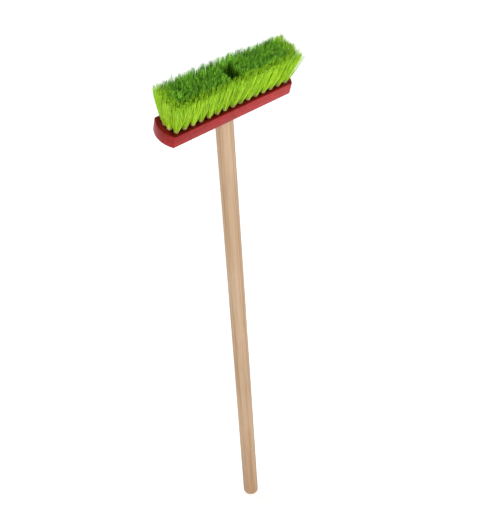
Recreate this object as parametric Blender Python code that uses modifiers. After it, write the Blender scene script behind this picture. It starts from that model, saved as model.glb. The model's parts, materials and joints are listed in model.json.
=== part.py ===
"""Small push broom: a turned wooden handle, a painted wooden block and bristle tufts in four rows.

Frame, in metres: the origin is the centre of the handle's butt, +Z runs up the handle, +X runs along
the block, and the bristles lean towards -Y. The head frame sits where the handle's axis meets the
centre of the block's underside, with its own +Z along the bristles.
"""
import math

import bmesh
import bpy
from mathutils import Matrix

# Driving dimensions
HANDLE_DIAMETER = 0.024
HANDLE_REACH = 0.724
HEAD_TILT = math.radians(19.0)
BLOCK_CORNER_LENGTH = 0.193
BLOCK_WIDTH = 0.041
BLOCK_THICKNESS = 0.018
END_BOW = 0.0072
BRISTLE_LENGTH = 0.0465
CLEARANCE = 0.0003
WELD_DISTANCE = 0.00002
ROUND_EDGE_ANGLE = math.radians(35.0)

# Handle: butt, shoulder and tenon
BUTT_ROUNDING = 0.0055
BUTT_CROWN = 0.0012
BUTT_ARC_STEPS = 5
SHOULDER_DEPTH = 0.0047
TENON_DIAMETER = 0.017
TENON_DEPTH = 0.011
TENON_CHAMFER = 0.0012
TURNED_STEPS = 32

# Block outline and edges
END_ARC_STEPS = 16
BLOCK_EDGE_EASING = 0.0006
EDGE_EASING_SEGMENTS = 2
EASED_EDGE_ANGLE = math.radians(30.0)

# Tuft rows: places are numbered from the middle one, 0, out to the two ends
END_PLACE = 7
OUTER_ROW_Y = 0.0132
INNER_ROW_Y = 0.0044
OUTER_ROOT_PITCH = 0.0128
INNER_ROOT_PITCH = 0.0133
TUFT_ROOT_RADIUS = 0.0027
TUFT_HOLE_DEPTH = 0.008
TUFT_SIDES = 12

# The bristle field at the tips
OUTER_TIP_PITCH = 0.0137
INNER_TIP_PITCH = 0.0140
TIP_HALF_WIDTH = 0.0245
TIP_ROW_BOUNDARY = 0.0112
PAIR_OVERLAP = 0.0005
TIP_CELL_EXPONENT = 5.0

# How a tuft opens: share of the bristle length, and how far it has spread into its cell
TUFT_STATIONS = ((0.0, 0.0), (0.2, 0.55), (0.45, 1.0), (1.0, 1.0))
TUFT_MOUTH_HEIGHT = 0.0004

# Handle screw
SCREW_LENGTH = 0.035
SCREW_HEAD_RADIUS = 0.0030
SCREW_HEAD_HEIGHT = 0.0016
SCREW_SHANK_RADIUS = 0.0018
SCREW_POINT_LENGTH = 0.005
SCREW_HEAD_SINK = 0.002
SCREW_STEPS = 24
RECESS_LENGTH = 0.0034
RECESS_WIDTH = 0.0009
RECESS_DEPTH = 0.0013

# Places along the handle's axis
HANDLE_TOP = HANDLE_REACH + TENON_DEPTH
FACE_ON_AXIS = HANDLE_REACH + BLOCK_THICKNESS / math.cos(HEAD_TILT)
SCREW_TOP = FACE_ON_AXIS - SCREW_HEAD_SINK
SCREW_TIP = SCREW_TOP - SCREW_LENGTH
CUTTER_OVERSHOOT = 0.010

# Material values: linear colour, roughness, metallic
MATERIALS = {
    "handle_wood": ((0.62, 0.42, 0.26), 0.55, 0.0),
    "block_paint": ((0.45, 0.02, 0.025), 0.35, 0.0),
    "lime_bristle": ((0.30, 0.55, 0.02), 0.45, 0.0),
    "green_bristle": ((0.07, 0.22, 0.015), 0.45, 0.0),
    "zinc_steel": ((0.55, 0.53, 0.48), 0.35, 1.0),
}


def clear_scene():
    for old in list(bpy.data.objects):
        bpy.data.objects.remove(old, do_unlink=True)


def new_collection(name):
    collection = bpy.data.collections.new(name)
    bpy.context.scene.collection.children.link(collection)
    return collection


def make_materials():
    made = {}
    for name, (colour, roughness, metallic) in MATERIALS.items():
        material = bpy.data.materials.new(name)
        material.use_nodes = True
        shader = material.node_tree.nodes["Principled BSDF"]
        shader.inputs["Base Color"].default_value = (*colour, 1.0)
        shader.inputs["Roughness"].default_value = roughness
        shader.inputs["Metallic"].default_value = metallic
        made[name] = material
    return made


def lerp(start, end, share):
    return start + (end - start) * share


def smooth_round(mesh):
    mesh.shade_smooth()
    mesh.set_sharp_from_angle(angle=ROUND_EDGE_ANGLE)


def add_object(name, mesh, collection, parent=None):
    obj = bpy.data.objects.new(name, mesh)
    obj.parent = parent
    collection.objects.link(obj)
    return obj


def mark_as_cutter(obj):
    obj.hide_render = True
    obj.display_type = "WIRE"


def evaluated_mesh(obj):
    """A new mesh of the object's shape with its modifiers applied."""
    bpy.context.view_layer.update()
    evaluated = obj.evaluated_get(bpy.context.evaluated_depsgraph_get())
    return bpy.data.meshes.new_from_object(evaluated)


def turned(name, profile, steps, collection):
    """Turn a profile of (radius, height) points, listed from top to bottom, about the Z axis."""
    outline = bpy.data.meshes.new(name)
    points = [(radius, 0.0, height) for radius, height in profile]
    links = [(index, index + 1) for index in range(len(points) - 1)]
    outline.from_pydata(points, links, [])
    obj = add_object(name, outline, collection)
    screw = obj.modifiers.new("turn", "SCREW")
    screw.steps = steps
    screw.render_steps = steps
    screw.use_merge_vertices = True
    screw.merge_threshold = WELD_DISTANCE
    mesh = evaluated_mesh(obj)
    smooth_round(mesh)
    obj.modifiers.clear()
    obj.data = mesh
    return obj


def cut(obj, cutter):
    boolean = obj.modifiers.new("cut_" + cutter.name, "BOOLEAN")
    boolean.operation = "DIFFERENCE"
    boolean.solver = "EXACT"
    boolean.object = cutter


def tuft_places():
    """Root places of every tuft in the head frame."""
    places = []
    for place in range(-END_PLACE, END_PLACE + 1):
        for side in (-1, 1):
            places.append((place * OUTER_ROOT_PITCH, side * OUTER_ROW_Y))
            if place != 0:
                places.append((place * INNER_ROOT_PITCH, side * INNER_ROW_Y))
    return places


def build_handle(parts, material):
    radius = HANDLE_DIAMETER / 2
    tenon_radius = TENON_DIAMETER / 2
    shoulder = HANDLE_REACH + SHOULDER_DEPTH
    pilot_radius = SCREW_SHANK_RADIUS + CLEARANCE
    pilot_bottom = SCREW_TIP - CLEARANCE
    profile = [
        (0.0, pilot_bottom),
        (pilot_radius, pilot_bottom + SCREW_POINT_LENGTH / 2),
        (pilot_radius, HANDLE_TOP),
        (tenon_radius - TENON_CHAMFER, HANDLE_TOP),
        (tenon_radius, HANDLE_TOP - TENON_CHAMFER),
        (tenon_radius, shoulder),
        (radius, shoulder),
    ]
    for step in range(BUTT_ARC_STEPS + 1):
        angle = math.radians(90.0) * step / BUTT_ARC_STEPS
        profile.append((
            radius - BUTT_ROUNDING * (1 - math.cos(angle)),
            BUTT_CROWN + BUTT_ROUNDING * (1 - math.sin(angle)),
        ))
    profile.append((radius - 2 * BUTT_ROUNDING + BUTT_CROWN, 0.0))
    profile.append((0.0, 0.0))
    handle = turned("handle", profile, TURNED_STEPS, parts)
    handle.data.materials.append(material)
    return handle


def build_block_blank(parts, head, material):
    """The uncut block: straight long sides, bowed ends and lightly eased edges."""
    half_length = BLOCK_CORNER_LENGTH / 2
    half_width = BLOCK_WIDTH / 2
    arc_radius = (half_width**2 + END_BOW**2) / (2 * END_BOW)
    arc_centre = half_length + END_BOW - arc_radius
    arc_half_angle = math.asin(half_width / arc_radius)
    outline = []
    for end in (1, -1):
        for step in range(END_ARC_STEPS + 1):
            angle = lerp(-arc_half_angle, arc_half_angle, step / END_ARC_STEPS)
            along = arc_centre + arc_radius * math.cos(angle)
            across = arc_radius * math.sin(angle)
            outline.append((end * along, end * across))
    curve = bpy.data.curves.new("block_outline", "CURVE")
    curve.dimensions = "2D"
    curve.fill_mode = "BOTH"
    curve.extrude = BLOCK_THICKNESS / 2
    spline = curve.splines.new("POLY")
    spline.points.add(len(outline) - 1)
    for point, (x, y) in zip(spline.points, outline):
        point.co = (x, y, 0.0, 1.0)
    spline.use_cyclic_u = True
    flat = add_object("block_outline", curve, parts)
    flat.location.z = BLOCK_THICKNESS / 2
    mesh = evaluated_mesh(flat)
    mesh.transform(flat.matrix_world)
    bpy.data.objects.remove(flat, do_unlink=True)
    shell = bmesh.new()
    shell.from_mesh(mesh)
    bmesh.ops.remove_doubles(shell, verts=shell.verts, dist=WELD_DISTANCE)
    bmesh.ops.recalc_face_normals(shell, faces=shell.faces)
    shell.to_mesh(mesh)
    shell.free()
    mesh.materials.clear()
    mesh.materials.append(material)
    block = add_object("block", mesh, parts, head)
    easing = block.modifiers.new("eased_edges", "BEVEL")
    easing.width = BLOCK_EDGE_EASING
    easing.segments = EDGE_EASING_SEGMENTS
    easing.limit_method = "ANGLE"
    easing.angle_limit = EASED_EDGE_ANGLE
    return block


def build_socket_cutter(cutters):
    """One turned cutter along the handle's axis: handle socket, tenon bore and sunk screw hole."""
    handle_radius = HANDLE_DIAMETER / 2 + CLEARANCE
    tenon_radius = TENON_DIAMETER / 2 + CLEARANCE
    shank_radius = SCREW_SHANK_RADIUS + CLEARANCE
    head_radius = SCREW_HEAD_RADIUS + CLEARANCE
    mouth = HANDLE_REACH - CUTTER_OVERSHOOT
    shoulder = HANDLE_REACH + SHOULDER_DEPTH + CLEARANCE
    socket_end = HANDLE_TOP + CLEARANCE
    seat_top = SCREW_TOP - CLEARANCE / 2
    cutter_top = FACE_ON_AXIS + CUTTER_OVERSHOOT
    profile = [
        (0.0, cutter_top),
        (head_radius, cutter_top),
        (head_radius, seat_top),
        (shank_radius, seat_top - SCREW_HEAD_HEIGHT),
        (shank_radius, socket_end),
        (tenon_radius, socket_end),
        (tenon_radius, shoulder),
        (handle_radius, shoulder),
        (handle_radius, mouth),
        (0.0, mouth),
    ]
    cutter = turned("socket_cutter", profile, TURNED_STEPS, cutters)
    mark_as_cutter(cutter)
    return cutter


def build_tuft_hole_cutter(cutters, head):
    """A plain round cutter at every tuft's place, joined in one object."""
    plugs = bmesh.new()
    bottom = BLOCK_THICKNESS - TUFT_HOLE_DEPTH
    top = BLOCK_THICKNESS + CUTTER_OVERSHOOT
    half_side = Matrix.Rotation(math.pi / TUFT_SIDES, 4, "Z")
    for x, y in tuft_places():
        bmesh.ops.create_cone(
            plugs,
            cap_ends=True,
            segments=TUFT_SIDES,
            radius1=TUFT_ROOT_RADIUS + CLEARANCE,
            radius2=TUFT_ROOT_RADIUS + CLEARANCE,
            depth=top - bottom,
            matrix=Matrix.Translation((x, y, (top + bottom) / 2)) @ half_side,
        )
    mesh = bpy.data.meshes.new("tuft_hole_cutter")
    plugs.to_mesh(mesh)
    plugs.free()
    cutter = add_object("tuft_hole_cutter", mesh, cutters, head)
    mark_as_cutter(cutter)
    return cutter


def build_screw(parts, cutters, material):
    """Countersunk wood screw along the handle's axis, with a cross recess in its head."""
    profile = [
        (0.0, SCREW_TOP),
        (SCREW_HEAD_RADIUS, SCREW_TOP),
        (SCREW_HEAD_RADIUS, SCREW_TOP - CLEARANCE),
        (SCREW_SHANK_RADIUS, SCREW_TOP - SCREW_HEAD_HEIGHT),
        (SCREW_SHANK_RADIUS, SCREW_TIP + SCREW_POINT_LENGTH),
        (0.0, SCREW_TIP),
    ]
    screw = turned("handle_screw", profile, SCREW_STEPS, parts)
    screw.data.materials.append(material)
    slots = bmesh.new()
    bmesh.ops.create_cube(slots, size=1.0)
    mesh = bpy.data.meshes.new("recess_slot")
    slots.to_mesh(mesh)
    slots.free()
    for index in range(2):
        slot = add_object("recess_cutter_%d" % (index + 1), mesh, cutters)
        slot.location.z = SCREW_TOP
        slot.scale = (RECESS_LENGTH, RECESS_WIDTH, 2 * RECESS_DEPTH)
        slot.rotation_euler.z = index * math.radians(90.0)
        mark_as_cutter(slot)
        cut(screw, slot)
    return screw


def tuft_section(row, place, share, spread):
    """Centre, half sizes and roundness of a tuft's section on the +Y side of the head."""
    if row == "outer":
        pitch = lerp(OUTER_ROOT_PITCH, OUTER_TIP_PITCH, share)
        root_y = OUTER_ROW_Y
        low_y = lerp((OUTER_ROW_Y + INNER_ROW_Y) / 2, TIP_ROW_BOUNDARY, share) + CLEARANCE / 2
        high_y = lerp(OUTER_ROW_Y + TUFT_ROOT_RADIUS, TIP_HALF_WIDTH, share)
    else:
        pitch = lerp(INNER_ROOT_PITCH, INNER_TIP_PITCH, share)
        root_y = INNER_ROW_Y
        low_y = -PAIR_OVERLAP
        high_y = lerp((OUTER_ROW_Y + INNER_ROW_Y) / 2, TIP_ROW_BOUNDARY, share) - CLEARANCE / 2
    centre_x = place * pitch
    centre_y = lerp(root_y, (low_y + high_y) / 2, spread)
    half_x = lerp(TUFT_ROOT_RADIUS, (pitch - CLEARANCE) / 2, spread)
    half_y = lerp(TUFT_ROOT_RADIUS, (high_y - low_y) / 2, spread)
    return centre_x, centre_y, half_x, half_y, lerp(2.0, TIP_CELL_EXPONENT, spread)


def section_ring(mesh, section, height):
    """A ring of vertices on a superellipse, from a circle at the root to a rounded cell at the tip."""
    centre_x, centre_y, half_x, half_y, exponent = section
    ring = []
    for side in range(TUFT_SIDES):
        angle = 2 * math.pi * (side + 0.5) / TUFT_SIDES
        across = math.copysign(abs(math.cos(angle)) ** (2 / exponent), math.cos(angle))
        along = math.copysign(abs(math.sin(angle)) ** (2 / exponent), math.sin(angle))
        ring.append(mesh.verts.new((centre_x + half_x * across, centre_y + half_y * along, height)))
    return ring


def tuft_mesh(name, row, place, material):
    """Loft one tuft from its round root in the block to its cell of the bristle field."""
    loft = bmesh.new()
    mouth = BLOCK_THICKNESS + TUFT_MOUTH_HEIGHT
    root = tuft_section(row, place, 0.0, 0.0)
    rings = [section_ring(loft, root, BLOCK_THICKNESS - TUFT_HOLE_DEPTH + CLEARANCE)]
    for share, spread in TUFT_STATIONS:
        height = lerp(mouth, BLOCK_THICKNESS + BRISTLE_LENGTH, share)
        rings.append(section_ring(loft, tuft_section(row, place, share, spread), height))
    loft.faces.new(reversed(rings[0]))
    loft.faces.new(rings[-1])
    for lower, upper in zip(rings, rings[1:]):
        for side in range(TUFT_SIDES):
            after = (side + 1) % TUFT_SIDES
            loft.faces.new((lower[side], lower[after], upper[after], upper[side]))
    mesh = bpy.data.meshes.new(name)
    loft.to_mesh(mesh)
    loft.free()
    mesh.materials.append(material)
    smooth_round(mesh)
    return mesh


def field_material(place, materials):
    """Lime at the two ends of the brush and darker green between them."""
    return materials["lime_bristle" if abs(place) == END_PLACE else "green_bristle"]


def build_outer_tufts(parts, head, materials):
    """The back row as lofted, and an all-lime front row turned half round."""
    for place in range(-END_PLACE, END_PLACE + 1):
        number = place + END_PLACE + 1
        back_mesh = tuft_mesh("back_tuft", "outer", place, field_material(place, materials))
        add_object("tuft_back_%02d" % number, back_mesh, parts, head)
        front_mesh = tuft_mesh("front_tuft", "outer", -place, materials["lime_bristle"])
        front = add_object("tuft_front_%02d" % number, front_mesh, parts, head)
        front.rotation_euler.z = math.pi


def build_inner_tufts(parts, head, materials):
    """The two inner rows: neighbours across the middle line meet above their roots, as one node."""
    places = [place for place in range(-END_PLACE, END_PLACE + 1) if place != 0]
    for index, place in enumerate(places):
        mesh = tuft_mesh("inner_tuft", "inner", place, field_material(place, materials))
        pair = add_object("tuft_inner_%02d" % (index + 1), mesh, parts, head)
        mirror = pair.modifiers.new("across_the_middle", "MIRROR")
        mirror.use_axis = (False, True, False)
        mirror.use_bisect_axis = (False, True, False)
        mirror.bisect_threshold = WELD_DISTANCE
        mirror.merge_threshold = WELD_DISTANCE


def main():
    clear_scene()
    parts = new_collection("push_broom")
    cutters = new_collection("cutters")
    materials = make_materials()
    head = bpy.data.objects.new("head_frame", None)
    head.location.z = HANDLE_REACH
    head.rotation_euler.x = HEAD_TILT
    parts.objects.link(head)
    build_handle(parts, materials["handle_wood"])
    block = build_block_blank(parts, head, materials["block_paint"])
    cut(block, build_tuft_hole_cutter(cutters, head))
    cut(block, build_socket_cutter(cutters))
    build_screw(parts, cutters, materials["zinc_steel"])
    build_outer_tufts(parts, head, materials)
    build_inner_tufts(parts, head, materials)


main()
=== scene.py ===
"""Looks of the push broom: painted block, wooden handle, screw, and tufts of separate bristles.

Everything is in metres in the CAD's frame: +Z up the handle, +X along the block. The head frame sits
at the centre of the block's underside, with its own +Z along the bristles.
"""
import json
import math

import bmesh
import bpy
import numpy as np
from mathutils import Matrix, Quaternion, Vector


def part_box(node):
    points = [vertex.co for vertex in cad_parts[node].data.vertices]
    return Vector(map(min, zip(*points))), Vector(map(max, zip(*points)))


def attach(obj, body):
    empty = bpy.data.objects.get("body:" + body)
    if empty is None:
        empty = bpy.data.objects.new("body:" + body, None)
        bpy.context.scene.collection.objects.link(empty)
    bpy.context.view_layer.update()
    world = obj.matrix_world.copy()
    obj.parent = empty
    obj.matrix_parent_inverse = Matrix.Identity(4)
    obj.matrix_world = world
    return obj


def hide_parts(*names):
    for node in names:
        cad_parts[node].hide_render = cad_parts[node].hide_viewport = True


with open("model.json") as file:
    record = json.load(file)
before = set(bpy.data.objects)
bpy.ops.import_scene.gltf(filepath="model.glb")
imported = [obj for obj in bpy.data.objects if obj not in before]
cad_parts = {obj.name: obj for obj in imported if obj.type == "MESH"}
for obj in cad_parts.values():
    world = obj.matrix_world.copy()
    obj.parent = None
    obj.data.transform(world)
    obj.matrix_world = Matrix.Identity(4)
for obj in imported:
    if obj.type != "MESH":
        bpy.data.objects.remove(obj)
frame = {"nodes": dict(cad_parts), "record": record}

BODY = "root"
SEED = 7

# Gap between pieces that are glued or pressed together on the real broom
CLEARANCE = 0.0003
# How near a vertex lies to the top or bottom of a CAD tuft to count as part of it
LEVEL_TOLERANCE = 0.0005

# Handle
HANDLE_SIDES = 96
HANDLE_STATIONS = 90
BUTT_ROUNDING = 0.0055
BUTT_CROWN = 0.0012
BUTT_ARC_STEPS = 12
BUTT_CROWN_STEPS = 5
SHOULDER_DEPTH = 0.0047
SHOULDER_EASING = 0.0004
TENON_RADIUS = 0.0085
TENON_ROUNDING = 0.0012
PILOT_RADIUS = 0.0021
PILOT_POINT = 0.0025
HAND_SANDED = 0.00012
SANDING_FADE = 0.03
HANDLE_PITH = (0.021, 0.034, 0.0)
HANDLE_RING_WIDTH = 0.0034
HAND_WORN_HEIGHT = 0.16

# Screw
SCREW_SIDES = 28
SCREW_SHANK_SHARE = 0.5
SCREW_HEAD_DEPTH = 0.0018
SCREW_RIM = 0.0003
THREAD_ROOT_SHARE = 0.78
THREAD_PITCH = 0.0018
THREAD_ROWS_PER_PITCH = 8
THREAD_CREST_HALF_WIDTH = 0.30
UNTHREADED_LENGTH = 0.010
POINT_LENGTH = 0.005
POINT_SHARE = 0.12
RECESS_RADII = (0.0003, 0.0029)
RECESS_DEPTH = 0.0032
RECESS_NARROWING = 0.3

# Block
BLOCK_THICKNESS = 0.018
END_BOW = 0.0072
END_ARC_STEPS = 40
EDGE_EASING = 0.0006
EDGE_EASING_SEGMENTS = 4
TUFT_HOLE_RADIUS = 0.0030
TUFT_HOLE_DEPTH = 0.008
HOLE_MOUTH = 0.00035
DRILL_POINT_ABOVE = 0.0006
DRILL_POINT_BELOW = 0.0004
HOLE_SIDES = 28
SOCKET_SIDES = 72
TOOL_OVERSHOOT = 0.010
SCREW_HOLE_OVERSHOOT = 0.012
SCREW_SEAT_DEPTH = 0.002
HOLE_PITH = (0.0, 0.05, 0.72)
HOLE_RING_WIDTH = 0.0022

# Paint: painted shade darkening the left end, and painted shadow between the bristles' roots
SHADED_END_X = (-0.10, 0.07)
ROOT_SHADE_Y = (0.0148, 0.0192)
ROOT_SHADE_X = (0.0915, 0.0985)

# Bristles
FIBRES_PER_TUFT = {"front": 72, "back": 112, "inner": 92}
FIBRE_RADIUS = 0.00021
FIBRE_THICKNESSES = (0.88, 1.1)
FIBRE_SIDES = 5
FIBRE_TAPER = 0.45
TAPER_START = 0.8
LEG_POINTS = 9
BEND_POINTS = 3
ROOT_PACKING_RADIUS = 0.0025
ROOT_GAP_SHARE = 0.04
ROOT_SCATTER = 0.00010
BEND_SCATTER = 0.00008
BEND_NARROWING = 0.92
ANCHOR_HEIGHT = 0.0031
ANCHOR_SIZE = (0.0058, 0.00032, 0.0020)
ANCHOR_EASING = 0.0001
END_TUFT_X = 0.088
CLUMPS_PER_LEG = 15
CLUMP_PULL = 0.34
CLUMP_PULL_SHARES = (0.6, 1.0)
CLUMP_SCATTER = 0.0008
CLUMP_TRIM = 0.0013
CLUMP_TONE = 0.30
FIBRE_TONE = 0.22
MINGLE = np.array([1.40, 1.20])
GAP_MINGLE = 0.60
GAP_HALF_LENGTH = 0.008
TIP_SCATTER = 0.0009
TIP_SETBACK = 0.0004
TRIM_SCATTER = 0.0009
SHORT_SHARE = 0.12
SHORT_TRIM = 0.003
OPENING = (1.15, 1.9)
BOW = 0.0006
CRIMP = 0.0002
CRIMP_WAVES = (14, 22)
FIELD_EDGE = 0.0012
SPLAY_START_X = 0.062
SPLAY_RUN = 0.050
SPLAY_WIDTH = 0.105
SPLAY_LENGTH = 0.0020

# Stage and light
FLOOR_HALF_SIZE = 14.0
FLOOR_DROP = 0.001
FLOOR_GLOW = 0.58
WORLD_HORIZON = 0.84
WORLD_ZENITH = 0.16
WORLD_FADE = (0.05, 0.75)

# Camera: looks at a point beside the handle, from the front left and above
AIM_POINT = Vector((0.01148, -0.01230, 0.47712))
CAMERA_DISTANCE = 1.42872
CAMERA_AZIMUTH = -39.571
CAMERA_ELEVATION = 36.954
CAMERA_ROLL = -3.65
CAMERA_LENS = 68.60


# ---------------------------------------------------------------- shader graphs

class Graph:
    """A material's node graph with short calls for adding and linking nodes."""

    def __init__(self, name):
        self.material = bpy.data.materials.new(name)
        self.material.use_nodes = True
        self.tree = self.material.node_tree
        self.shader = self.tree.nodes["Principled BSDF"]

    def add(self, kind, values=None, **settings):
        node = self.tree.nodes.new("ShaderNode" + kind)
        for key, value in settings.items():
            setattr(node, key, value)
        for key, value in (values or {}).items():
            node.inputs[key].default_value = value
        return node

    def link(self, source, target):
        self.tree.links.new(source, target)

    def set(self, **values):
        """Uniform values, set on the shader's own sockets."""
        for key, value in values.items():
            self.shader.inputs[key.replace("_", " ")].default_value = value

    def stretched(self, scale, offset=(0.0, 0.0, 0.0)):
        """Object coordinates scaled by axis, as a vector socket."""
        coords = self.add("TexCoord")
        mapping = self.add("Mapping", {"Scale": scale, "Location": offset})
        self.link(coords.outputs["Object"], mapping.inputs["Vector"])
        return mapping.outputs["Vector"]

    def axes(self, source):
        """X, Y and Z of the texture coordinates named by source."""
        axes = self.add("SeparateXYZ")
        self.link(self.add("TexCoord").outputs[source], axes.inputs[0])
        return axes.outputs

    def noise(self, scale, detail, roughness=0.5):
        """Noise in object coordinates stretched by scale, so that a large scale means a fine pattern."""
        node = self.add("TexNoise", {"Scale": 1.0, "Detail": detail, "Roughness": roughness})
        self.link(self.stretched(scale), node.inputs["Vector"])
        return node.outputs["Fac"]

    def math(self, operation, first, second=None):
        node = self.add("Math", operation=operation)
        for index, value in enumerate((first, second)):
            if value is None:
                continue
            if isinstance(value, (int, float)):
                node.inputs[index].default_value = value
            else:
                self.link(value, node.inputs[index])
        return node.outputs["Value"]

    def ramp(self, factor, stops):
        """A colour ramp with (position, colour) stops."""
        node = self.add("ValToRGB")
        elements = node.color_ramp.elements
        while len(elements) < len(stops):
            elements.new(0.5)
        for element, (position, colour) in zip(elements, stops):
            element.position = position
            element.color = (*colour, 1.0)
        self.link(factor, node.inputs["Fac"])
        return node.outputs["Color"]

    def mix(self, factor, first, second, blend="MIX"):
        node = self.add("Mix", data_type="RGBA", blend_type=blend)
        for socket, value in ((node.inputs[0], factor), (node.inputs[6], first), (node.inputs[7], second)):
            if isinstance(value, (int, float)):
                socket.default_value = value
            elif isinstance(value, tuple):
                socket.default_value = (*value, 1.0)
            else:
                self.link(value, socket)
        return node.outputs[2]

    def remap(self, value, low, high, new_low, new_high):
        node = self.add("MapRange", {
            "From Min": low, "From Max": high, "To Min": new_low, "To Max": new_high,
        })
        self.link(value, node.inputs["Value"])
        return node.outputs["Result"]

    def bump(self, height, distance, strength, after=None):
        node = self.add("Bump", {"Strength": strength, "Distance": distance})
        self.link(height, node.inputs["Height"])
        if after is not None:
            self.link(after, node.inputs["Normal"])
        return node.outputs["Normal"]


def wood_colour(graph, pith, ring_width, light, dark, grain_axis="Z"):
    """Growth rings round a pith line, and fine fibres along the grain. Returns colour and fibre height."""
    across = {"Z": (1.0, 1.0, 0.0), "X": (0.0, 1.0, 1.0)}[grain_axis]
    warp_scale = tuple(26.0 if share else 1.6 for share in across)
    fibre_scale = tuple(1500.0 if share else 22.0 for share in across)
    streak_scale = tuple(330.0 if share else 5.0 for share in across)
    warp = graph.noise(warp_scale, detail=2.0)
    flat = graph.add("VectorMath", operation="MULTIPLY")
    graph.link(graph.stretched((1.0, 1.0, 1.0), tuple(-value for value in pith)), flat.inputs[0])
    flat.inputs[1].default_value = across
    length = graph.add("VectorMath", operation="LENGTH")
    graph.link(flat.outputs["Vector"], length.inputs[0])
    radius = graph.math("ADD", length.outputs["Value"], graph.math("MULTIPLY", warp, ring_width * 2.6))
    ring = graph.math("FRACT", graph.math("DIVIDE", radius, ring_width))
    rings = graph.ramp(ring, (
        (0.0, light),
        (0.45, tuple(a * 0.7 + b * 0.3 for a, b in zip(light, dark))),
        (0.82, dark),
        (0.93, tuple(a * 0.5 + b * 0.5 for a, b in zip(light, dark))),
        (1.0, light),
    ))
    fibres = graph.noise(fibre_scale, detail=4.0, roughness=0.6)
    streaks = graph.noise(streak_scale, detail=3.0, roughness=0.55)
    tone = graph.ramp(streaks, (
        (0.36, (0.88, 0.80, 0.66)), (0.50, (1.0, 1.0, 1.0)), (0.68, (1.07, 1.08, 1.10)),
    ))
    toned = graph.mix(0.85, rings, tone, "MULTIPLY")
    fine = graph.ramp(fibres, (
        (0.32, (0.80, 0.74, 0.68)), (0.5, (1.0, 1.0, 1.0)), (0.8, (1.05, 1.05, 1.05)),
    ))
    return graph.mix(0.7, toned, fine, "MULTIPLY"), fibres


def handle_wood():
    graph = Graph("handle_wood")
    colour, fibres = wood_colour(
        graph, HANDLE_PITH, HANDLE_RING_WIDTH, (0.525, 0.378, 0.254), (0.458, 0.292, 0.149),
    )
    patches = graph.noise((30.0, 30.0, 5.0), detail=3.0)
    patchy = graph.mix(1.0, colour, graph.ramp(patches, (
        (0.3, (0.90, 0.87, 0.84)), (0.7, (1.04, 1.03, 1.02)),
    )), "MULTIPLY")
    worn = graph.remap(graph.axes("Object")["Z"], 0.0, HAND_WORN_HEIGHT, 1.0, 0.0)
    darkened_end = graph.mix(worn, patchy, (0.82, 0.76, 0.70), "MULTIPLY")
    end_grain = graph.math("POWER", graph.math("ABSOLUTE", graph.axes("Normal")["Z"]), 3.0)
    final = graph.mix(graph.math("MULTIPLY", end_grain, 0.55), darkened_end, (0.66, 0.54, 0.42), "MULTIPLY")
    graph.link(final, graph.shader.inputs["Base Color"])
    graph.link(graph.remap(fibres, 0.3, 0.7, 0.62, 0.46), graph.shader.inputs["Roughness"])
    graph.link(graph.bump(fibres, 0.00012, 0.5), graph.shader.inputs["Normal"])
    graph.set(Specular_IOR_Level=0.35, Coat_Weight=0.08, Coat_Roughness=0.35)
    return graph.material


def raw_wood():
    """Unpainted wood inside the block's drilled holes."""
    graph = Graph("raw_wood")
    colour, fibres = wood_colour(
        graph, HOLE_PITH, HOLE_RING_WIDTH, (0.62, 0.43, 0.26), (0.44, 0.27, 0.14), "X",
    )
    graph.link(colour, graph.shader.inputs["Base Color"])
    graph.link(graph.bump(fibres, 0.0002, 0.8), graph.shader.inputs["Normal"])
    graph.set(Roughness=0.8, Specular_IOR_Level=0.2)
    return graph.material


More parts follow.
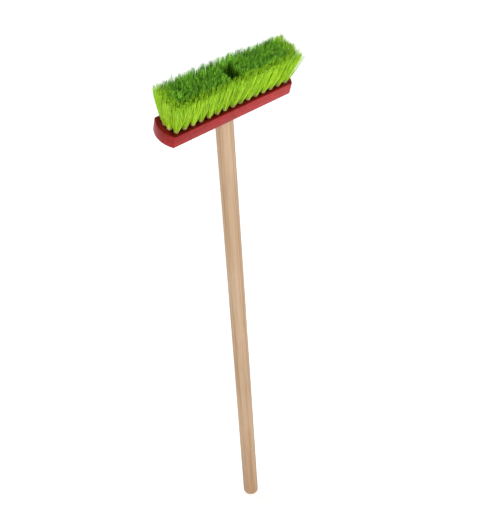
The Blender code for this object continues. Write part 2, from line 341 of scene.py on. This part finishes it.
def red_paint():
    """Satin paint brushed over wood: faint grain beneath, orange peel on top, scuffs and dust specks;
    painted shade darkens the left end, the bristle-side face and the paint between the bristles' roots.
    """
    graph = Graph("red_paint")
    grain = graph.noise((14.0, 420.0, 420.0), detail=4.0, roughness=0.6)
    peel = graph.noise((700.0, 700.0, 700.0), detail=2.0)
    clouds = graph.noise((45.0, 70.0, 70.0), detail=4.0)
    specks = graph.noise((1300.0, 1300.0, 1300.0), detail=2.0)
    body = graph.ramp(clouds, ((0.3, (0.335, 0.018, 0.019)), (0.7, (0.415, 0.026, 0.027))))
    grained = graph.mix(0.5, body, graph.ramp(grain, (
        (0.35, (0.86, 0.82, 0.82)), (0.6, (1.05, 1.05, 1.05)),
    )), "MULTIPLY")
    dusty = graph.mix(graph.remap(specks, 0.62, 0.76, 0.0, 0.30), grained, (0.62, 0.30, 0.28))
    scuffs = graph.noise((160.0, 260.0, 260.0), detail=4.0, roughness=0.65)
    scuffed = graph.mix(1.0, dusty, graph.ramp(scuffs, (
        (0.34, (0.82, 0.76, 0.76)), (0.5, (1.0, 1.0, 1.0)), (0.68, (1.12, 1.4, 1.4)),
    )), "MULTIPLY")
    place = graph.axes("Object")
    # Darker towards the left end: painted shade for the light that falls off towards that end.
    shaded_left_end = graph.remap(place["X"], *SHADED_END_X, 1.0, 0.0)
    darkened_end = graph.mix(shaded_left_end, scuffed, (0.76, 0.54, 0.54), "MULTIPLY")
    # Painted shade on the face the bristles stand on, yellowed like light bounced off the bristles.
    bristle_side = graph.remap(graph.axes("Normal")["Z"], 0.4, 0.9, 0.0, 1.0)
    shaded_bristle_face = graph.mix(bristle_side, darkened_end, (0.80, 0.72, 0.45), "MULTIPLY")
    # Painted shadow on that face, darkest between the bristles' roots.
    across = graph.remap(graph.math("ABSOLUTE", place["Y"]), *ROOT_SHADE_Y, 1.0, 0.0)
    along = graph.remap(graph.math("ABSOLUTE", place["X"]), *ROOT_SHADE_X, 1.0, 0.0)
    between_roots = graph.math("MULTIPLY", bristle_side, graph.math("MULTIPLY", across, along))
    root_shaded = graph.mix(between_roots, shaded_bristle_face, (0.40, 0.36, 0.28), "MULTIPLY")
    graph.link(root_shaded, graph.shader.inputs["Base Color"])
    graph.link(graph.remap(clouds, 0.3, 0.7, 0.30, 0.44), graph.shader.inputs["Roughness"])
    below = graph.bump(grain, 0.00010, 0.35)
    graph.link(graph.bump(peel, 0.00006, 0.35, below), graph.shader.inputs["Normal"])
    graph.set(Specular_IOR_Level=0.13)
    return graph.material


def bristle(name, root, body, tip, shade, sheen):
    """Extruded bristle: paler where it leaves the hole, lighter at the tips as painted light, and each
    fibre's colour between a painted shade and a painted sheen.
    """
    graph = Graph(name)
    reach = graph.add("Attribute", attribute_name="fibre_reach").outputs["Fac"]
    tone = graph.add("Attribute", attribute_name="fibre_tone").outputs["Fac"]
    # Lighter at the tips than lower down: painted light on the tips, and painted shade among the fibres
    # below them.
    along = graph.ramp(reach, ((0.0, root), (0.04, root), (0.13, body), (0.75, body), (0.95, tip)))
    # Each fibre's random tone darkens it as painted shade or lightens and whitens it as painted sheen.
    varied = graph.mix(1.0, along, graph.ramp(tone, (
        (0.0, shade), (0.5, (1.0, 1.0, 1.0)), (1.0, sheen),
    )), "MULTIPLY")
    graph.link(varied, graph.shader.inputs["Base Color"])
    draw_lines = graph.noise((2600.0, 2600.0, 260.0), detail=2.0)
    graph.link(graph.bump(draw_lines, 0.00004, 0.5), graph.shader.inputs["Normal"])
    graph.link(graph.remap(tone, 0.0, 1.0, 0.48, 0.34), graph.shader.inputs["Roughness"])
    graph.set(Specular_IOR_Level=0.28)
    return graph.material


def zinc_plate():
    graph = Graph("zinc_plate")
    clouds = graph.noise((900.0, 900.0, 900.0), detail=4.0)
    lines = graph.noise((600.0, 600.0, 5200.0), detail=2.0)
    tint = graph.ramp(clouds, ((0.3, (0.46, 0.45, 0.42)), (0.7, (0.66, 0.65, 0.60))))
    graph.link(tint, graph.shader.inputs["Base Color"])
    graph.link(graph.remap(clouds, 0.3, 0.7, 0.26, 0.42), graph.shader.inputs["Roughness"])
    graph.link(graph.bump(lines, 0.00003, 0.4), graph.shader.inputs["Normal"])
    graph.set(Metallic=1.0)
    return graph.material


# ---------------------------------------------------------------- mesh helpers

def mesh_object(name, mesh, *materials):
    obj = bpy.data.objects.new(name, mesh)
    bpy.context.scene.collection.objects.link(obj)
    for material in materials:
        mesh.materials.append(material)
    return obj


def from_bmesh(name, shape, *materials):
    mesh = bpy.data.meshes.new(name)
    bmesh.ops.recalc_face_normals(shape, faces=shape.faces)
    shape.to_mesh(mesh)
    shape.free()
    return mesh_object(name, mesh, *materials)


def smooth(obj, degrees=35.0):
    obj.data.shade_smooth()
    obj.data.set_sharp_from_angle(angle=math.radians(degrees))
    return obj


def turn_profile(profile, sides, wobble=None):
    """A bmesh turned about Z from (radius, height) points; the two end points lie on the axis."""
    shape = bmesh.new()
    rings = []
    for radius, height in profile:
        if radius == 0.0:
            rings.append([shape.verts.new((0.0, 0.0, height))])
            continue
        ring = []
        for side in range(sides):
            angle = 2 * math.pi * side / sides
            local = radius + (wobble(angle, height) if wobble else 0.0)
            ring.append(shape.verts.new((local * math.cos(angle), local * math.sin(angle), height)))
        rings.append(ring)
    for upper, lower in zip(rings, rings[1:]):
        for side in range(sides):
            after = (side + 1) % sides
            corners = [upper[side % len(upper)], lower[side % len(lower)],
                       lower[after % len(lower)], upper[after % len(upper)]]
            unique = list(dict.fromkeys(corners))
            shape.faces.new(unique)
    return shape


def apply_modifiers(obj):
    """Gives obj its evaluated mesh and drops the modifiers."""
    bpy.context.view_layer.update()
    mesh = bpy.data.meshes.new_from_object(obj.evaluated_get(bpy.context.evaluated_depsgraph_get()))
    obj.modifiers.clear()
    obj.data = mesh
    return obj


def subtract(obj, cutter):
    boolean = obj.modifiers.new("cut", "BOOLEAN")
    boolean.operation = "DIFFERENCE"
    boolean.solver = "EXACT"
    boolean.material_mode = "TRANSFER"
    boolean.object = cutter
    apply_modifiers(obj)
    bpy.data.objects.remove(cutter, do_unlink=True)


def settle(obj, slot, *nodes):
    """The piece rides on the frame and stands for CAD nodes, which it hides; slot is not used."""
    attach(obj, BODY)
    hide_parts(*nodes)
    return obj


# ---------------------------------------------------------------- the frame's facts

def head_matrix():
    """The head frame from the record's two flat mounts on the block's underside."""
    mounts = {mount["name"]: mount for mount in frame["record"]["mounts"]}
    left, right = mounts["rack_rest_left"], mounts["rack_rest_right"]
    centre = (Vector(left["pos_m"]) + Vector(right["pos_m"])) / 2
    along = (Vector(right["pos_m"]) - Vector(left["pos_m"])).normalized()
    up = -Vector(left["axis"]).normalized()
    back = up.cross(along)
    turn = Matrix((along, back, up)).transposed().to_4x4()
    return Matrix.Translation(centre) @ turn


def head_points(node, to_head):
    """A CAD node's vertices in the head frame."""
    mesh = frame["nodes"][node].data
    flat = np.empty(len(mesh.vertices) * 3, dtype=np.float32)
    mesh.vertices.foreach_get("co", flat)
    turn = np.array(to_head.to_3x3())
    return flat.reshape(-1, 3) @ turn.T + np.array(to_head.translation)


def tuft_facts(node, to_head):
    """Root centres and tip cells of a tuft node, one (root, low corner, high corner) for each tuft."""
    points = head_points(node, to_head)
    bottom = points[points[:, 2] < points[:, 2].min() + LEVEL_TOLERANCE]
    top = points[points[:, 2] > points[:, 2].max() - LEVEL_TOLERANCE]
    if bottom[:, 1].min() > 0.0 or bottom[:, 1].max() < 0.0:
        return [(bottom.mean(axis=0), top.min(axis=0), top.max(axis=0))]
    facts = []
    for side in (-1, 1):
        low, high = top.min(axis=0), top.max(axis=0)
        (high if side < 0 else low)[1] = 0.0
        inside = bottom[:, 1] * side > 0.0
        facts.append((bottom[inside].mean(axis=0), low, high))
    return facts


# ---------------------------------------------------------------- handle and screw

def build_handle(material):
    low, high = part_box("handle")
    radius = (high.x - low.x) / 2
    reach = head.translation.z
    shoulder = reach + SHOULDER_DEPTH
    screw_low, _screw_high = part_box("handle_screw")
    pilot_bottom = screw_low.z - CLEARANCE
    side_top = shoulder - SHOULDER_EASING
    profile = [
        (0.0, pilot_bottom),
        (PILOT_RADIUS, pilot_bottom + PILOT_POINT),
        (PILOT_RADIUS, high.z),
        (TENON_RADIUS - TENON_ROUNDING, high.z),
        (TENON_RADIUS - TENON_ROUNDING / 3, high.z - TENON_ROUNDING / 3),
        (TENON_RADIUS, high.z - TENON_ROUNDING),
        (TENON_RADIUS, shoulder),
        (radius - SHOULDER_EASING, shoulder),
        (radius, side_top),
    ]
    for station in range(1, HANDLE_STATIONS):
        share = station / HANDLE_STATIONS
        profile.append((radius, side_top + (BUTT_CROWN + BUTT_ROUNDING - shoulder) * share))
    for step in range(BUTT_ARC_STEPS + 1):
        angle = math.radians(90.0) * step / BUTT_ARC_STEPS
        profile.append((
            radius - BUTT_ROUNDING * (1 - math.cos(angle)),
            BUTT_CROWN + BUTT_ROUNDING * (1 - math.sin(angle)),
        ))
    flat = radius - BUTT_ROUNDING
    for step in range(1, BUTT_CROWN_STEPS):
        share = step / BUTT_CROWN_STEPS
        profile.append((flat * (1 - share), BUTT_CROWN * (1 - share) ** 2))
    profile.append((0.0, 0.0))

    def sanded(angle, height):
        """A belt-sanded stick is never quite round or even."""
        waves = math.sin(2 * angle + height * 9.0) + 0.6 * math.sin(5 * angle - height * 23.0)
        waves += 0.8 * math.sin(height * 41.0 + angle)
        below_block = min(1.0, max(0.0, (shoulder - height) / SANDING_FADE))
        return -HAND_SANDED * 0.5 * (1.2 + 0.5 * waves) * below_block

    handle = from_bmesh("wooden_handle", turn_profile(profile, HANDLE_SIDES, sanded), material)
    return settle(smooth(handle), "handle_wood", "handle")


def build_screw(material):
    """Countersunk screw with a cut thread and a cross recess."""
    low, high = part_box("handle_screw")
    head_radius = (high.x - low.x) / 2
    shank = head_radius * SCREW_SHANK_SHARE
    root = shank * THREAD_ROOT_SHARE
    thread_top, point = high.z - UNTHREADED_LENGTH, low.z + POINT_LENGTH
    shape = bmesh.new()
    rings = []

    def ring(radius_at, height):
        made = []
        for side in range(SCREW_SIDES):
            angle = 2 * math.pi * side / SCREW_SIDES
            radius = radius_at(angle, height)
            made.append(shape.verts.new((radius * math.cos(angle), radius * math.sin(angle), height)))
        rings.append(made)

    def threaded(angle, height):
        phase = (height / THREAD_PITCH - angle / (2 * math.pi)) % 1.0
        crest = max(0.0, 1 - abs(phase - 0.5) / THREAD_CREST_HALF_WIDTH)
        fade = min(1.0, (thread_top - height) / THREAD_PITCH) if height < thread_top else 0.0
        taper = min(1.0, max(POINT_SHARE, (height - low.z) / (point - low.z)))
        return (root + (shank - root) * crest * max(0.0, fade)) * taper

    head_and_plain_shank = (
        (head_radius * 0.55, high.z - 0.00002),
        (head_radius * 0.94, high.z),
        (head_radius, high.z - SCREW_RIM / 2),
        (head_radius, high.z - SCREW_RIM),
        (shank, high.z - SCREW_HEAD_DEPTH),
        (shank, thread_top + 0.0002),
    )
    for plain_radius, height in head_and_plain_shank:
        ring(lambda _angle, _height: plain_radius, height)
    rows = int((thread_top - low.z) / THREAD_PITCH * THREAD_ROWS_PER_PITCH)
    for row in range(rows + 1):
        ring(threaded, thread_top - (thread_top - low.z - 0.0002) * row / rows)
    for upper, lower in zip(rings, rings[1:]):
        for side in range(SCREW_SIDES):
            after = (side + 1) % SCREW_SIDES
            shape.faces.new((upper[side], lower[side], lower[after], upper[after]))
    shape.faces.new(rings[0])
    tip = shape.verts.new((0.0, 0.0, low.z))
    for side in range(SCREW_SIDES):
        shape.faces.new((rings[-1][side], tip, rings[-1][(side + 1) % SCREW_SIDES]))
    screw = from_bmesh("wood_screw", shape, material)
    for turn in (0.0, math.radians(90.0)):
        slot = bmesh.new()
        bmesh.ops.create_cone(
            slot, cap_ends=True, segments=4, radius1=RECESS_RADII[0], radius2=RECESS_RADII[1],
            depth=RECESS_DEPTH,
        )
        bmesh.ops.scale(slot, verts=slot.verts, vec=(1.0, RECESS_NARROWING, 1.0))
        rotation = Matrix.Translation((0.0, 0.0, high.z)) @ Matrix.Rotation(turn, 4, "Z")
        bmesh.ops.transform(slot, matrix=rotation, verts=slot.verts)
        subtract(screw, from_bmesh("recess", slot, material))
    return settle(smooth(screw, 40.0), "zinc_steel", "handle_screw")


# ---------------------------------------------------------------- block

def block_outline():
    """Points round the block in the head frame's plane: straight sides and bowed ends."""
    points = head_points("block", head.inverted())
    half_width = (points[:, 1].max() - points[:, 1].min()) / 2
    half_length = (points[:, 0].max() - points[:, 0].min()) / 2 - END_BOW
    arc_radius = (half_width**2 + END_BOW**2) / (2 * END_BOW)
    arc_centre = half_length + END_BOW - arc_radius
    arc_half_angle = math.asin(half_width / arc_radius)
    outline = []
    for end in (1, -1):
        for step in range(END_ARC_STEPS + 1):
            angle = -arc_half_angle + 2 * arc_half_angle * step / END_ARC_STEPS
            along = arc_centre + arc_radius * math.cos(angle)
            outline.append((end * along, end * arc_radius * math.sin(angle)))
    return outline


def build_block(paint, wood, roots):
    shape = bmesh.new()
    base = [shape.verts.new((x, y, 0.0)) for x, y in block_outline()]
    face = shape.faces.new(base)
    made = bmesh.ops.extrude_face_region(shape, geom=[face])
    raised = [item for item in made["geom"] if isinstance(item, bmesh.types.BMVert)]
    bmesh.ops.translate(shape, verts=raised, vec=(0.0, 0.0, BLOCK_THICKNESS))
    block = from_bmesh("painted_block", shape, paint, wood)
    easing = block.modifiers.new("eased", "BEVEL")
    easing.width = EDGE_EASING
    easing.segments = EDGE_EASING_SEGMENTS
    easing.limit_method = "ANGLE"
    easing.angle_limit = math.radians(30.0)
    apply_modifiers(block)
    subtract(block, build_hole_cutter(wood, roots))
    subtract(block, build_socket_cutter(wood))
    block.matrix_world = head
    return settle(smooth(block, 28.0), "block_paint", "block")


def build_hole_cutter(wood, roots):
    """Drilled tuft holes, each with a slightly opened mouth and a drill point."""
    shape = bmesh.new()
    face = BLOCK_THICKNESS
    for x, y in roots:
        drilled = turn_profile([
            (0.0, face + TOOL_OVERSHOOT),
            (TUFT_HOLE_RADIUS + HOLE_MOUTH + TOOL_OVERSHOOT, face + TOOL_OVERSHOOT),
            (TUFT_HOLE_RADIUS, face - HOLE_MOUTH),
            (TUFT_HOLE_RADIUS, face - TUFT_HOLE_DEPTH + DRILL_POINT_ABOVE),
            (0.0, face - TUFT_HOLE_DEPTH - DRILL_POINT_BELOW),
        ], HOLE_SIDES)
        bmesh.ops.translate(drilled, verts=drilled.verts, vec=(x, y, 0.0))
        part = bpy.data.meshes.new("drill")
        drilled.to_mesh(part)
        drilled.free()
        shape.from_mesh(part)
        bpy.data.meshes.remove(part)
    return from_bmesh("tuft_holes", shape, wood)


def build_socket_cutter(wood):
    """Handle socket, tenon bore and sunk screw hole along the handle's axis."""
    low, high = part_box("handle")
    screw_low, screw_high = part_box("handle_screw")
    radius = (high.x - low.x) / 2 + CLEARANCE
    sink = (screw_high.x - screw_low.x) / 2 + CLEARANCE
    tenon = TENON_RADIUS + CLEARANCE
    shoulder = head.translation.z + SHOULDER_DEPTH + CLEARANCE
    mouth = head.translation.z - TOOL_OVERSHOOT
    cutter = from_bmesh("socket", turn_profile([
        (0.0, screw_high.z + SCREW_HOLE_OVERSHOOT),
        (sink, screw_high.z + SCREW_HOLE_OVERSHOOT),
        (sink, screw_high.z - CLEARANCE / 2),
        (PILOT_RADIUS, screw_high.z - SCREW_SEAT_DEPTH),
        (PILOT_RADIUS, high.z + CLEARANCE),
        (tenon, high.z + CLEARANCE),
        (tenon, shoulder),
        (radius, shoulder),
        (radius, mouth),
        (0.0, mouth),
    ], SOCKET_SIDES), wood)
    cutter.matrix_world = head.inverted()
    return cutter


# ---------------------------------------------------------------- tufts

def disc_points(count, radius, rng):
    """Evenly packed points in a disc, in half-disc pairs mirrored across the X axis."""
    turn = math.pi * (3 - math.sqrt(5))
    points = []
    index = 0
    while len(points) < count:
        share = math.sqrt((index + 0.5) / (2 * count))
        angle = index * turn
        index += 1
        x, y = share * math.cos(angle), share * math.sin(angle)
        if y > ROOT_GAP_SHARE:
            points.append((x * radius, y * radius))
    points = np.array(points)
    return points + rng.normal(0.0, ROOT_SCATTER, points.shape)


def disc_to_square(points, radius):
    """Spreads disc points over the unit square, keeping their direction."""
    scaled = points / radius
    reach = np.clip(np.hypot(scaled[:, 0], scaled[:, 1]), 1e-6, 1.0)
    largest = np.maximum(np.abs(scaled[:, 0]), np.abs(scaled[:, 1]))
    return scaled * (reach / np.maximum(largest, 1e-6))[:, None] * (0.5 + 0.5 * reach)[:, None]


def side_mingle(low, high, field):
    """How far fibres stray past each side of their cell: across a neighbour, but not past the field.

    The two inner rows have no tuft over the handle, and there they keep to their own cells.
    """
    reach_low = np.where(low[:2] < -field + FIELD_EDGE, 1.0, MINGLE)
    reach_high = np.where(high[:2] > field - FIELD_EDGE, 1.0, MINGLE)
    if low[0] < 0.0 < high[0]:
        (reach_low if low[1] > 0.0 else reach_high)[1] = 1.0
    elif 0.0 < low[0] < GAP_HALF_LENGTH:
        reach_low[0] = GAP_MINGLE
    elif -GAP_HALF_LENGTH < high[0] < 0.0:
        reach_high[0] = GAP_MINGLE
    return reach_low, reach_high


def fibre_leg(mouths, root, low, high, field, rng):
    """Points of each bristle's leg from its tip down to the hole's mouth, as (fibre, point, xyz).

    Also returns each leg's tone, its place between painted shade and painted sheen, which neighbours in a
    clump share.
    """
    count = len(mouths)
    cell_centre = (low[:2] + high[:2]) / 2
    cell_half = (high[:2] - low[:2]) / 2
    square = disc_to_square(mouths, ROOT_PACKING_RADIUS)
    heads = square[rng.choice(count, CLUMPS_PER_LEG, replace=False)]
    nearest = np.argmin(np.linalg.norm(square[:, None] - heads[None], axis=2), axis=1)
    square += (heads[nearest] - square) * CLUMP_PULL * rng.uniform(*CLUMP_PULL_SHARES, (count, 1))
    reach_low, reach_high = side_mingle(low, high, field)
    spread = square * cell_half * np.where(square < 0.0, reach_low, reach_high)
    spread += rng.normal(0.0, CLUMP_SCATTER, heads.shape)[nearest]
    spread += rng.normal(0.0, TIP_SCATTER, spread.shape)
    length = high[2] - BLOCK_THICKNESS - TIP_SETBACK + rng.normal(0.0, TRIM_SCATTER, count)
    length += rng.normal(0.0, CLUMP_TRIM, CLUMPS_PER_LEG)[nearest]
    length -= np.abs(rng.normal(0.0, SHORT_TRIM, count)) * (rng.random(count) < SHORT_SHARE)
    shares = np.linspace(1.0, 0.0, LEG_POINTS)[None, :, None]
    opening = rng.uniform(*OPENING, count)[:, None, None]
    centre = root[:2] + (cell_centre - root[:2]) * shares
    offset = mouths[:, None, :] + (spread - mouths)[:, None, :] * (1 - (1 - shares) ** opening)
    bow = rng.normal(0.0, BOW, (count, 1, 2)) * np.sin(np.pi * shares)
    crimp = rng.normal(0.0, CRIMP, (count, 1, 2))
    crimp = crimp * np.sin(shares * rng.uniform(*CRIMP_WAVES, (count, 1, 1)))
    plan = centre + offset + bow + crimp * shares
    height = BLOCK_THICKNESS + CLEARANCE + length[:, None, None] * shares
    points = np.concatenate([plan, height], axis=2)
    tones = 0.5 + rng.normal(0.0, CLUMP_TONE, CLUMPS_PER_LEG)[nearest]
    return points, np.clip(tones + rng.normal(0.0, FIBRE_TONE, count), 0.0, 1.0)


def fibre_bend(mouths, root, bottom):
    """The part inside the hole: down past the anchor wire, round under it and up again."""
    anchor = bottom + ANCHOR_HEIGHT
    bend = []
    for step in range(BEND_POINTS + 2):
        angle = math.pi * step / (BEND_POINTS + 1)
        across = mouths[:, 1] * math.cos(angle)
        drop = np.abs(mouths[:, 1]) * math.sin(angle)
        narrowed = mouths[:, 0] * BEND_NARROWING
        bend.append(np.stack([root[0] + narrowed, root[1] + across, anchor - drop], axis=1))
    return np.stack(bend, axis=1)


def tube_mesh(name, paths, radii, reach, tones):
    """One mesh of round fibres along paths (fibre, point, xyz), closed at both ends."""
    count, points, _ = paths.shape
    tangent = np.gradient(paths, axis=1)
    tangent /= np.linalg.norm(tangent, axis=2, keepdims=True)
    guide = np.array([1.0, 0.0, 0.0])
    side = guide - tangent * (tangent @ guide)[..., None]
    side /= np.linalg.norm(side, axis=2, keepdims=True)
    other = np.cross(tangent, side)
    angles = 2 * np.pi * np.arange(FIBRE_SIDES) / FIBRE_SIDES
    ring = np.cos(angles)[:, None] * side[:, :, None, :] + np.sin(angles)[:, None] * other[:, :, None, :]
    verts = paths[:, :, None, :] + ring * radii[:, :, None, None]
    index = np.arange(count * points * FIBRE_SIDES).reshape(count, points, FIBRE_SIDES)
    after = np.roll(index, -1, axis=2)
    quads = np.stack([index[:, :-1], after[:, :-1], after[:, 1:], index[:, 1:]], axis=-1).reshape(-1, 4)
    caps = np.concatenate([index[:, 0, ::-1], index[:, -1, :]])
    mesh = bpy.data.meshes.new(name)
    mesh.vertices.add(index.size)
    mesh.vertices.foreach_set("co", verts.astype(np.float32).ravel())
    loops = np.concatenate([quads.ravel(), caps.ravel()]).astype(np.int32)
    starts = np.concatenate([
        np.arange(len(quads)) * 4,
        len(quads) * 4 + np.arange(len(caps)) * FIBRE_SIDES,
    ]).astype(np.int32)
    mesh.loops.add(len(loops))
    mesh.loops.foreach_set("vertex_index", loops)
    mesh.polygons.add(len(starts))
    mesh.polygons.foreach_set("loop_start", starts)
    mesh.update(calc_edges=True)
    mesh.validate()
    for attribute, values in (("fibre_reach", reach), ("fibre_tone", tones)):
        layer = mesh.attributes.new(attribute, "FLOAT", "POINT")
        layer.data.foreach_set("value", np.repeat(values.ravel(), FIBRE_SIDES).astype(np.float32))
    mesh.shade_smooth()
    return mesh


def splayed(low, high, half_width):
    """A cell's corners where the back half of the field leans out and stands longer to the left."""
    share = min(1.0, max(0.0, (SPLAY_START_X - (low[0] + high[0]) / 2) / SPLAY_RUN))
    low, high = low.copy(), high.copy()
    high[2] += SPLAY_LENGTH * share * max(0.0, high[1]) / half_width
    for corner in (low, high):
        corner[1] += SPLAY_WIDTH * share * max(0.0, corner[1])
    return low, high


def build_tuft(name, root, low, high, field, count, material, rng):
    """Fibres folded in two over the anchor wire, with both legs fanning out to the tuft's cell."""
    bottom = BLOCK_THICKNESS - TUFT_HOLE_DEPTH + CLEARANCE
    near = disc_points(count, ROOT_PACKING_RADIUS, rng)
    far = near * np.array([1.0, -1.0]) + rng.normal(0.0, BEND_SCATTER, near.shape)
    first, first_tones = fibre_leg(near, root, low, high, field, rng)
    second, second_tones = fibre_leg(far, root, low, high, field, rng)
    paths = np.concatenate([first, fibre_bend(near, root, bottom), second[:, ::-1]], axis=1)
    leg = np.linspace(1.0, 0.0, LEG_POINTS)
    reach = np.concatenate([leg, np.zeros(BEND_POINTS + 2), leg[::-1]])
    taper = np.clip((reach - TAPER_START) / (1 - TAPER_START), 0.0, 1.0)
    thickness = 1 - taper * FIBRE_TAPER
    radii = FIBRE_RADIUS * rng.uniform(*FIBRE_THICKNESSES, count)[:, None] * thickness[None, :]
    second_share = np.linspace(0.0, 1.0, len(reach))[None, :] > 0.5
    tones = np.where(second_share, second_tones[:, None], first_tones[:, None])
    mesh = tube_mesh(name, paths, radii, np.broadcast_to(reach, (count, len(reach))), tones)
    tuft = mesh_object(name, mesh, material)
    tuft.matrix_world = head
    return tuft


def build_tufts(lime, green):
    """Every tuft as its own piece. Returns the roots' places in the head frame."""
    rng = np.random.default_rng(SEED)
    tufts = []
    for node in sorted(name for name in frame["nodes"] if name.startswith("tuft_")):
        row, number = node.split("_")[1:]
        for side, facts in zip(("front", "back"), tuft_facts(node, head.inverted())):
            label = "inner_" + side if row == "inner" else row
            tufts.append((node, "bristles_%s_%s" % (label, number), row, *facts))
    # Half the size of the whole bristle field at the tips
    field = np.max([tuft[-1][:2] for tuft in tufts], axis=0)
    for node, name, row, root, low, high in tufts:
        is_lime = row == "front" or abs(root[0]) > END_TUFT_X
        material = lime if is_lime else green
        low, high = splayed(low, high, field[1])
        tuft = build_tuft(name, root, low, high, field, FIBRES_PER_TUFT[row], material, rng)
        settle(tuft, "lime_bristle" if is_lime else "green_bristle", node)
    return [(float(tuft[3][0]), float(tuft[3][1])) for tuft in tufts]


def build_anchors(roots, material):
    """The flat wires that hold the folded bristles down, one on edge across each hole."""
    shape = bmesh.new()
    middle = BLOCK_THICKNESS - TUFT_HOLE_DEPTH + CLEARANCE + ANCHOR_HEIGHT + ANCHOR_SIZE[2] / 2
    for x, y in roots:
        made = bmesh.ops.create_cube(shape, size=1.0)
        bmesh.ops.scale(shape, verts=made["verts"], vec=ANCHOR_SIZE)
        bmesh.ops.translate(shape, verts=made["verts"], vec=(x, y, middle))
    anchors = from_bmesh("anchor_wires", shape, material)
    easing = anchors.modifiers.new("eased", "BEVEL")
    easing.width = ANCHOR_EASING
    easing.segments = 2
    apply_modifiers(anchors)
    anchors.matrix_world = head
    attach(anchors, BODY)


# ---------------------------------------------------------------- stage

def build_floor():
    """A wide pale floor under the butt, lit from within a little so that it stays near white."""
    shape = bmesh.new()
    bmesh.ops.create_grid(shape, x_segments=2, y_segments=2, size=FLOOR_HALF_SIZE)
    graph = Graph("pale_floor")
    clouds = graph.noise((1.5, 1.5, 1.5), detail=2.0)
    tone = graph.ramp(clouds, ((0.3, (0.93, 0.93, 0.93)), (0.7, (0.95, 0.95, 0.95))))
    graph.link(tone, graph.shader.inputs["Base Color"])
    graph.set(
        Roughness=0.9, Specular_IOR_Level=0.1,
        Emission_Color=(1.0, 1.0, 1.0, 1.0), Emission_Strength=FLOOR_GLOW,
    )
    floor = from_bmesh("floor", shape, graph.material)
    floor.location.z = -FLOOR_DROP


def aim(obj, target):
    obj.rotation_mode = "QUATERNION"
    obj.rotation_quaternion = (target - obj.location).to_track_quat("-Z", "Y")


def add_light(name, location, target, size, power):
    data = bpy.data.lights.new(name, "AREA")
    data.shape = "DISK"
    data.size = size
    data.energy = power
    light = bpy.data.objects.new(name, data)
    light.location = location
    bpy.context.scene.collection.objects.link(light)
    aim(light, Vector(target))


def build_world():
    """A pale studio, brightest round the horizon and dimmer overhead."""
    world = bpy.data.worlds.new("studio")
    world.use_nodes = True
    tree = world.node_tree
    background = tree.nodes["Background"]
    coords = tree.nodes.new("ShaderNodeTexCoord")
    parts = tree.nodes.new("ShaderNodeSeparateXYZ")
    rise = tree.nodes.new("ShaderNodeMapRange")
    settings = {
        "From Min": WORLD_FADE[0], "From Max": WORLD_FADE[1],
        "To Min": WORLD_HORIZON, "To Max": WORLD_ZENITH,
    }
    for socket, value in settings.items():
        rise.inputs[socket].default_value = value
    tree.links.new(coords.outputs["Generated"], parts.inputs[0])
    tree.links.new(parts.outputs["Z"], rise.inputs["Value"])
    tree.links.new(rise.outputs["Result"], background.inputs["Strength"])
    background.inputs["Color"].default_value = (1.0, 1.0, 1.0, 1.0)
    bpy.context.scene.world = world


def build_lights():
    add_light("key", (0.1, -1.7, 0.30), (0.0, 0.0, 0.72), 1.4, 14.5)
    add_light("fill", (-1.7, -0.7, 1.0), (0.0, 0.0, 0.5), 1.2, 8.0)
    add_light("top", (0.0, 1.5, 2.3), (0.0, 0.0, 0.7), 1.0, 26.0)


def build_camera():
    azimuth, elevation = math.radians(CAMERA_AZIMUTH), math.radians(CAMERA_ELEVATION)
    back = Vector((
        math.sin(azimuth) * math.cos(elevation),
        -math.cos(azimuth) * math.cos(elevation),
        math.sin(elevation),
    ))
    data = bpy.data.cameras.new("camera")
    data.sensor_width = 36.0
    data.lens = CAMERA_LENS
    camera = bpy.data.objects.new("camera", data)
    camera.location = AIM_POINT + back * CAMERA_DISTANCE
    camera.rotation_mode = "QUATERNION"
    roll = Quaternion((0.0, 0.0, 1.0), math.radians(CAMERA_ROLL))
    camera.rotation_quaternion = (-back).to_track_quat("-Z", "Y") @ roll
    bpy.context.scene.collection.objects.link(camera)
    bpy.context.scene.camera = camera


# ---------------------------------------------------------------- build

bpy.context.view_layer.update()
head = head_matrix()
wood = handle_wood()
hole_wood = raw_wood()
steel = zinc_plate()
lime = bristle(
    "lime_bristle", (0.58, 0.60, 0.18), (0.44, 0.75, 0.009), (0.50, 0.86, 0.028),
    shade=(0.72, 0.78, 0.60), sheen=(1.20, 1.10, 1.60),
)
green = bristle(
    "green_bristle", (0.34, 0.46, 0.12), (0.145, 0.40, 0.013), (0.29, 0.70, 0.040),
    shade=(0.32, 0.40, 0.42), sheen=(1.70, 1.45, 2.10),
)

build_camera()
build_world()
build_lights()
build_floor()
tuft_roots = build_tufts(lime, green)
build_block(red_paint(), hole_wood, tuft_roots)
build_handle(wood)
build_screw(steel)
build_anchors(tuft_roots, steel)
bpy.context.scene.view_settings.view_transform = "Standard"
